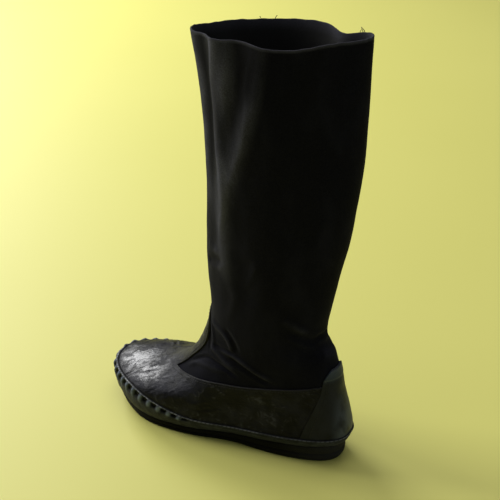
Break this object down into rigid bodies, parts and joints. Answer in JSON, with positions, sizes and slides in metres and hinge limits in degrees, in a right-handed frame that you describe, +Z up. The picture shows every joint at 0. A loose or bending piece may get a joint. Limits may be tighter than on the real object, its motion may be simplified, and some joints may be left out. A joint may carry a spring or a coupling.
{
  "type": "boot",
  "caption": "Tall pull-on boot with a slack suede shaft, a leather foot gathered into a raised seam round the toe, a heel counter and a low rubber wedge sole.",
  "frame": {"origin": "on the floor, under the middle of the boot's box", "axes": "+X from heel to toe, +Y to the wearer's left, which is the boot's outer side, +Z up"},
  "size_m": [0.2818, 0.0998, 0.3961],
  "materials": {
    "suede": "matte black nap, slack and softly folded",
    "vamp_leather": "glossy creased black leather",
    "counter_leather": "smooth black leather with a cool sheen",
    "wrap_leather": "dull black leather, worn grey on the gathers",
    "seam_leather": "worn grey raw edge of the raised seam",
    "sole_rubber": "matte black moulded rubber",
    "insole_felt": "dark felt"
  },
  "bodies": {
    "root": {"upper": "suede", "vamp": "vamp_leather", "counter": "counter_leather", "wrap": "wrap_leather", "seam": "seam_leather", "outsole": "sole_rubber", "insole": "insole_felt"}
  },
  "joints": []
}
